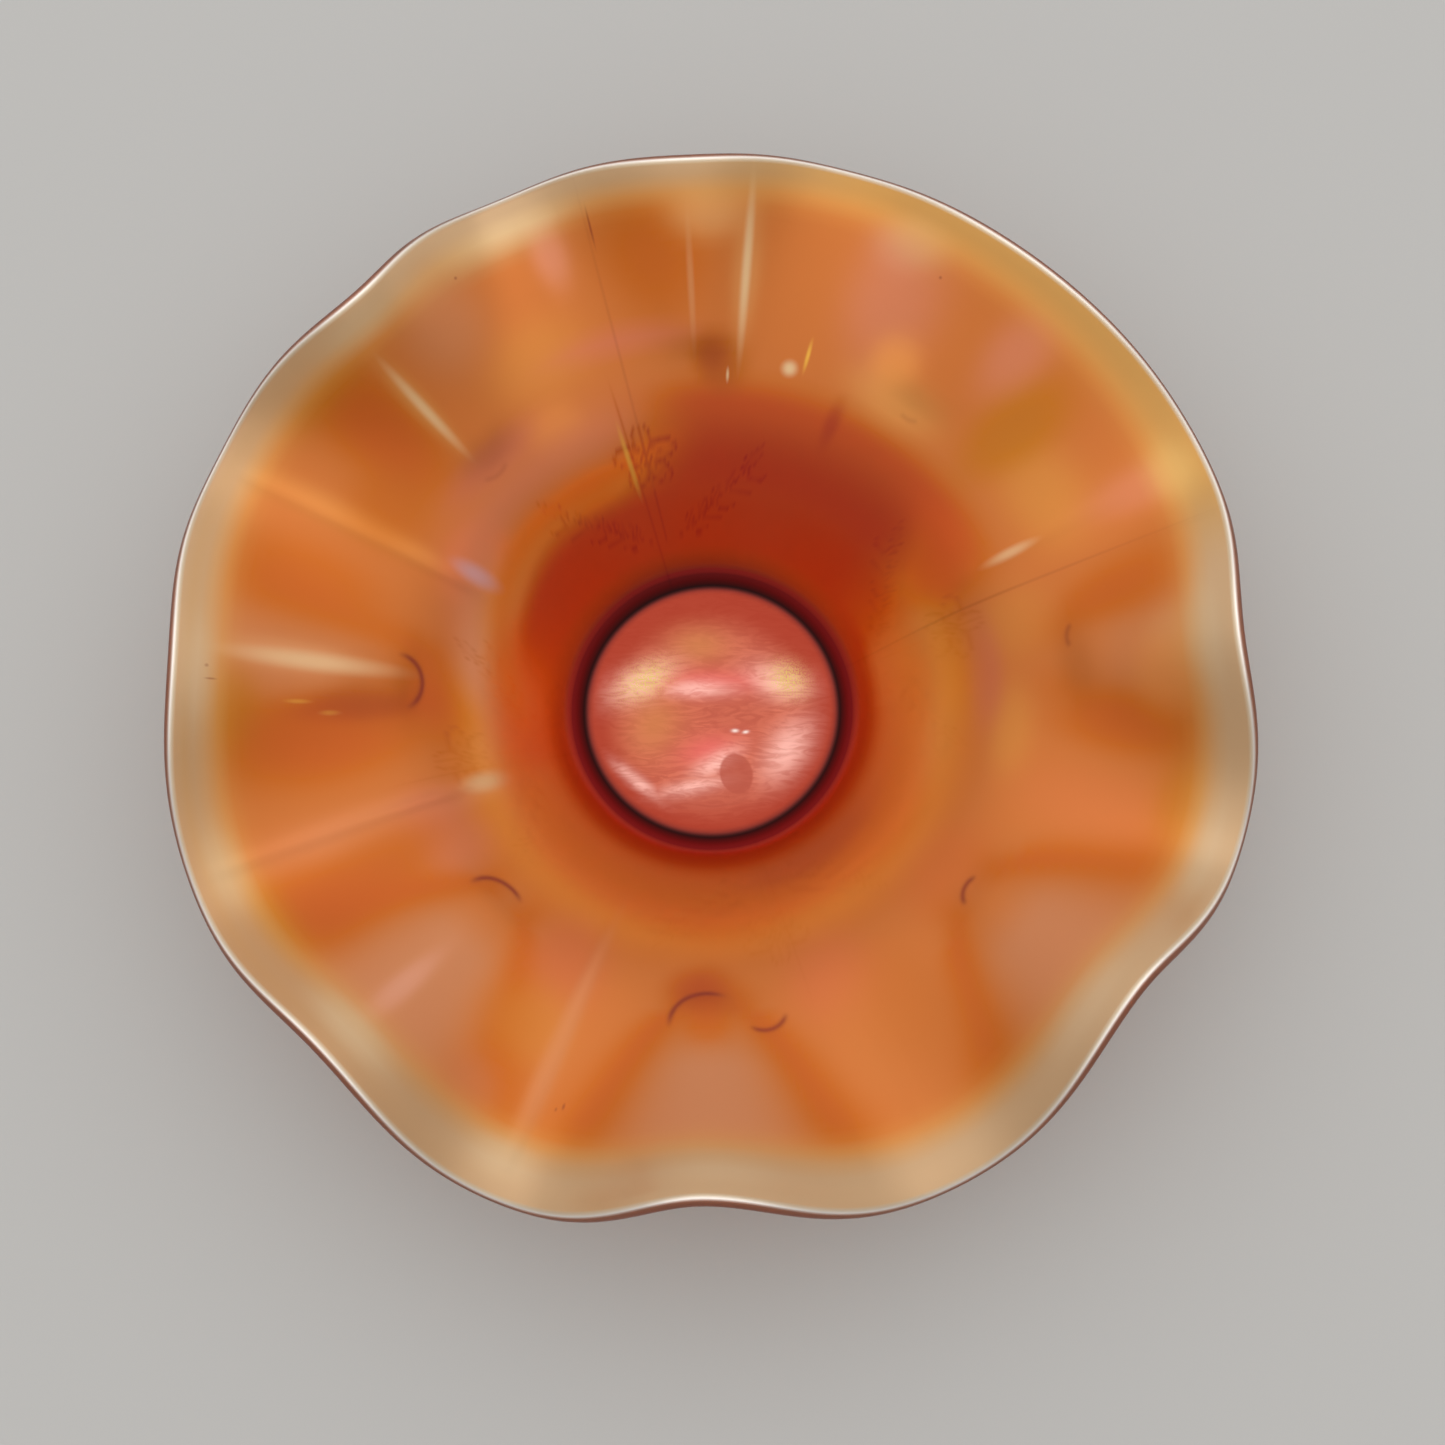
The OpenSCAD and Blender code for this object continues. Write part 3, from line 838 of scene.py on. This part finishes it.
    def disc(self, x, y, at_x, at_y, long, wide, turn):
        """An oval in the plane of the floor with a crisp edge."""
        return self.rise(self.oval(x, y, at_x, at_y, long, wide, turn), 0.17, 0.29)

    def blend(self, factor, a, b):
        """Between two numbers, as mix is between two colours."""
        node = self.add("ShaderNodeMix", data_type="FLOAT")
        self.feed(node.inputs[0], factor)
        self.feed(node.inputs[2], a)
        self.feed(node.inputs[3], b)
        return node.outputs[0]


# ---------------------------------------------------------------- the glass

# Painted shade: the foot ring, seen through the floor, is painted dark plum.
FOOT_RING_SHADE_PLUM = linear(44, 9, 8)
CORAL = linear(226, 108, 84)
# Painted shade in the crescent grooves, also used for the seam lines and small dark marks.
CREASE_SHADE_AND_DARK_MARK_BROWN = linear(150, 46, 16)

# Roughness outside and inside, and how far the lustred glass and the band let light through.
SHINY, SATIN = 0.06, 0.28
LUSTRE_CLEARNESS, BAND_CLEARNESS = 0.82, 0.86

# Small marks of light and wear: angle, length up the wall, half length, half width, colour, strength.
MARKS = [
    (18, 52, 40, 0.4, "dark", 0.22),
    (105, 58, 36, 0.4, "dark", 0.2),
    (109, 36, 8, 0.6, "gold", 0.7),
    (84.8, 76, 18, 1.1, "glint", 0.7),
    (92.5, 73, 14, 0.8, "glint", 0.18),
    (136, 71, 13, 1.2, "glint", 0.6),
    (177.3, 69, 19, 2.2, "glint", 0.5),
    (183.2, 72, 3, 0.5, "gold", 0.4),
    (184.8, 65, 2.4, 0.6, "gold", 0.3),
    (24, 54, 6, 1.2, "glint", 0.5),
    (153, 39, 6, 2.2, "lilac", 0.5),
    (201.5, 33, 6, 2.4, "glint", 0.6),
    (76, 55.5, 1.8, 1.8, "glint", 0.8),
    (73.5, 59, 3.5, 0.5, "gold", 0.9),
    (86.7, 52.5, 1.6, 0.35, "glint", 0.7),
    (104.5, 87, 4.5, 0.3, "dark", 0.7),
    (251.7, 77, 0.8, 0.35, "dark", 0.6),
    (250.9, 78, 0.5, 0.3, "dark", 0.5),
    (181, 91, 1.4, 0.25, "dark", 0.6),
    (179.5, 92, 0.5, 0.4, "dark", 0.5),
    (60, 85.5, 0.4, 0.4, "dark", 0.6),
    (122, 88, 0.4, 0.4, "dark", 0.6),
]


def lustre_glass():
    """The one glass: shiny outside, satin lustre inside, clearer along the rim."""
    n = Nodes("lustre_glass")
    wrap = n.attribute("wrap")
    inside, metal, band = n.split(n.attribute("zone"))[:3]
    along = n.split(wrap)[2]
    u = n.math("MULTIPLY", along, WALL_LEN)
    place = n.scaled(n.add("ShaderNodeTexCoord").outputs["Object"], 1 / MM, 1 / MM, 1 / MM)

    colour = n.attribute("paint")
    colour = n.mix(n.less(along, -0.01, 0.004), colour, floor_colour(n, place))
    # The foot ring is painted dark plum as painted shade.
    colour = n.mix(n.less(along, -0.9, -0.6), colour, FOOT_RING_SHADE_PLUM)
    colour = n.mix(n.less(along, -1.6, -1.2), colour, CORAL)

    tints = {"glint": linear(252, 222, 170), "gold": linear(255, 196, 70), "lilac": linear(230, 196, 214),
             "dark": CREASE_SHADE_AND_DARK_MARK_BROWN}
    for at, where, long, wide, tint, strength in MARKS:
        colour = n.mix(n.product(n.spot(place, u, at, where, long, wide), strength), colour, tints[tint])
    # Painted shade: each crescent groove is darkened in the base colour.
    for at, end, radius, mid, half_turn, strength in CRESCENTS:
        arc = n.arc(place, u, at, end, radius, mid, half_turn)
        colour = n.mix(n.product(arc, 0.85 * strength), colour, CREASE_SHADE_AND_DARK_MARK_BROWN)

    shader = n.add("ShaderNodeBsdfPrincipled")
    out = n.add("ShaderNodeOutputMaterial")
    n.feed(out.inputs["Surface"], shader.outputs[0])
    n.feed(shader.inputs["Base Color"], colour)
    clear = n.rise(band, -3.0, 3.0)
    n.feed(shader.inputs["Metallic"], n.product(inside, metal))
    n.feed(shader.inputs["Roughness"], n.blend(inside, SHINY, SATIN))
    n.feed(shader.inputs["Transmission Weight"], n.blend(clear, LUSTRE_CLEARNESS, BAND_CLEARNESS))
    shader.inputs["IOR"].default_value = 1.5
    shader.inputs["Specular IOR Level"].default_value = 0.2
    return n.material


def floor_colour(n, place):
    """The floor: coral lustre, with painted reflections as brushed silvery lobes, a greenish gold tint, worn
    patches, painted glints, and painted shade along its edge.
    """
    x, y = n.split(place)[:2]
    brushed = n.noise(n.scaled(place, 0.14, 0.5, 0.0), 1.0, 4.0, 2.0)
    grain = n.noise(n.scaled(place, 1.0, 1.0, 0.0), 3.0, 2.0)
    colour = n.mix(n.rise(brushed, 0.35, 0.65), linear(190, 90, 68), linear(206, 106, 80))
    near_ring = n.rise(n.length(n.moved(place, 0, 1.6, 0)), 16.5, 25.5)
    colour = n.mix(n.product(near_ring, 0.85), colour, linear(166, 46, 20))
    grey = n.math("MAXIMUM", n.oval(x, y, -13, -3, 9, 7, 70), n.oval(x, y, -3, 15, 8, 5, 0))
    colour = n.mix(n.product(grey, 0.7), colour, linear(204, 126, 70))
    rose = n.math("MAXIMUM", n.oval(x, y, 0, 6.5, 20, 3.5, 0), n.oval(x, y, -1, -9, 8, 4, 15))
    colour = n.mix(n.product(rose, 0.7), colour, linear(232, 104, 98))
    # Painted reflections: bright silvery lobes on the floor.
    painted_reflections = None
    for at_x, at_y, long, wide, turn in FLOOR_REFLECTION_LOBES:
        reflection = n.oval(x, y, at_x, at_y, long, wide, turn)
        painted_reflections = reflection if painted_reflections is None else n.math("MAXIMUM", painted_reflections, reflection)
    painted_reflections = n.product(painted_reflections, n.blend(n.rise(brushed, 0.35, 0.6), 0.6, 1.0), n.less(n.length(place), 25.5, 28))
    colour = n.mix(n.product(painted_reflections, 0.9), colour, linear(252, 190, 178))
    tint = n.math("MAXIMUM", n.oval(x, y, -15, 7, 7, 4, 30), n.oval(x, y, 17, 7, 5, 4, -30))
    colour = n.mix(n.product(tint, n.rise(grain, 0.44, 0.54), 0.85), colour, linear(222, 204, 92))
    faint = n.product(n.disc(x, y, 6, 0.5, 8, 6, 0), 0.25)
    worn = n.math("MAXIMUM", n.disc(x, y, 5.5, -14.5, 3.7, 4.8, 12), faint)
    worn = n.math("MAXIMUM", worn, n.product(n.disc(x, y, -1.5, -20.0, 10, 2.6, 4), 0.45))
    colour = n.mix(n.product(worn, 0.75), colour, linear(176, 78, 60))
    glints = n.math("MAXIMUM", n.oval(x, y, 5.2, -4.6, 0.9, 0.45, 0), n.oval(x, y, 7.6, -4.9, 0.8, 0.4, 10))
    colour = n.mix(n.product(glints, 0.9), colour, linear(255, 236, 226))
    # Painted shade along the floor's edge by the foot ring.
    return n.mix(n.product(n.rise(n.length(place), 26.6, 28.6), 0.75), colour, linear(96, 20, 22))


# Painted reflections, as bright lobes in the lustre on the floor: middle x and y, half length and half width
# in mm, turn in degrees.
FLOOR_REFLECTION_LOBES = [
    (-16, 6.5, 9, 4.4, 26),
    (-3, 5.0, 10, 2.4, 0),
    (15, 6.5, 8, 4.6, -18),
    (17, -9, 9, 5.0, 56),
    (-17, -16, 7, 1.8, -38),
    (-4, -17.5, 9, 2.2, 12),
    (1, -12, 7, 2.8, 30),
]


# ---------------------------------------------------------------- stage, light and camera

def make_stage():
    """A plain pale table top."""
    mesh = bpy.data.meshes.new("table")
    half = 3.0
    corners = [(-half, -half, 0), (half, -half, 0), (half, half, 0), (-half, half, 0)]
    mesh.from_pydata(corners, [], [(0, 1, 2, 3)])
    table = bpy.data.objects.new("table", mesh)
    bpy.context.scene.collection.objects.link(table)
    n = Nodes("table_paint")
    shader = n.add("ShaderNodeBsdfPrincipled")
    out = n.add("ShaderNodeOutputMaterial")
    n.feed(out.inputs["Surface"], shader.outputs[0])
    shader.inputs["Base Color"].default_value = (0.45, 0.445, 0.437, 1)
    shader.inputs["Roughness"].default_value = 0.6
    mesh.materials.append(n.material)


def make_world():
    """A sky that is soft all round, and brighter on the far side and overhead."""
    world = bpy.data.worlds.new("studio")
    bpy.context.scene.world = world
    world.use_nodes = True
    tree = world.node_tree
    tree.nodes.clear()
    coordinates = tree.nodes.new("ShaderNodeTexCoord")
    split = tree.nodes.new("ShaderNodeSeparateXYZ")
    tree.links.new(coordinates.outputs["Generated"], split.inputs[0])

    def part(socket, low, high, weight):
        """A soft rise of the sky's light along one direction."""
        rise = tree.nodes.new("ShaderNodeMapRange")
        rise.interpolation_type = "SMOOTHSTEP"
        rise.inputs["From Min"].default_value = low
        rise.inputs["From Max"].default_value = high
        rise.inputs["To Max"].default_value = weight
        tree.links.new(socket, rise.inputs["Value"])
        return rise.outputs[0]

    def add(a, b):
        """The sum of two sockets or numbers."""
        node = tree.nodes.new("ShaderNodeMath")
        for socket, value in zip(node.inputs, (a, b)):
            if isinstance(value, float):
                socket.default_value = value
            else:
                tree.links.new(value, socket)
        return node.outputs[0]

    far = part(split.outputs["Y"], -0.55, 0.8, SKY_FAR)
    top = part(split.outputs["Z"], 0.45, 0.95, SKY_TOP)
    strength = add(add(SKY_ALL, far), top)
    light = tree.nodes.new("ShaderNodeBackground")
    light.inputs["Color"].default_value = (1.0, 0.99, 0.97, 1)
    tree.links.new(strength, light.inputs["Strength"])
    out = tree.nodes.new("ShaderNodeOutputWorld")
    tree.links.new(light.outputs[0], out.inputs["Surface"])
    bpy.context.scene.view_settings.view_transform = "Standard"


def make_camera():
    """The camera looks down at the bowl from the near side, a little to the right. Its lens is in mm."""
    distance, tilt, swing = 0.550, math.radians(10), math.radians(8)
    lens, aim = 59.668, (0.0066, -0.0038)
    level = Vector((math.cos(swing), math.sin(swing), 0))
    ahead = Vector((-math.sin(swing), math.cos(swing), 0))
    forward = ahead * math.sin(tilt) - Vector((0, 0, 1)) * math.cos(tilt)
    up = ahead * math.cos(tilt) + Vector((0, 0, 1)) * math.sin(tilt)
    right = level * math.cos(swing) - up * math.sin(swing)
    top = level * math.sin(swing) + up * math.cos(swing)
    data = bpy.data.cameras.new("camera")
    data.sensor_width = 36
    data.lens = lens
    data.shift_x, data.shift_y = aim
    data.clip_start = 0.01
    camera = bpy.data.objects.new("camera", data)
    turn = Matrix((right, top, -forward)).transposed().to_4x4()
    camera.matrix_world = Matrix.Translation(-distance * forward) @ turn
    bpy.context.scene.collection.objects.link(camera)
    bpy.context.scene.camera = camera


make_camera()
make_stage()
make_world()

bowl = make_bowl()
bowl.data.materials.append(lustre_glass())
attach(bowl, "root")
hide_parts("foot_ring", "floor_disc", "cup_wall", "ruffled_flare", "rim_edge", "mould_seams",
            "flower_relief")
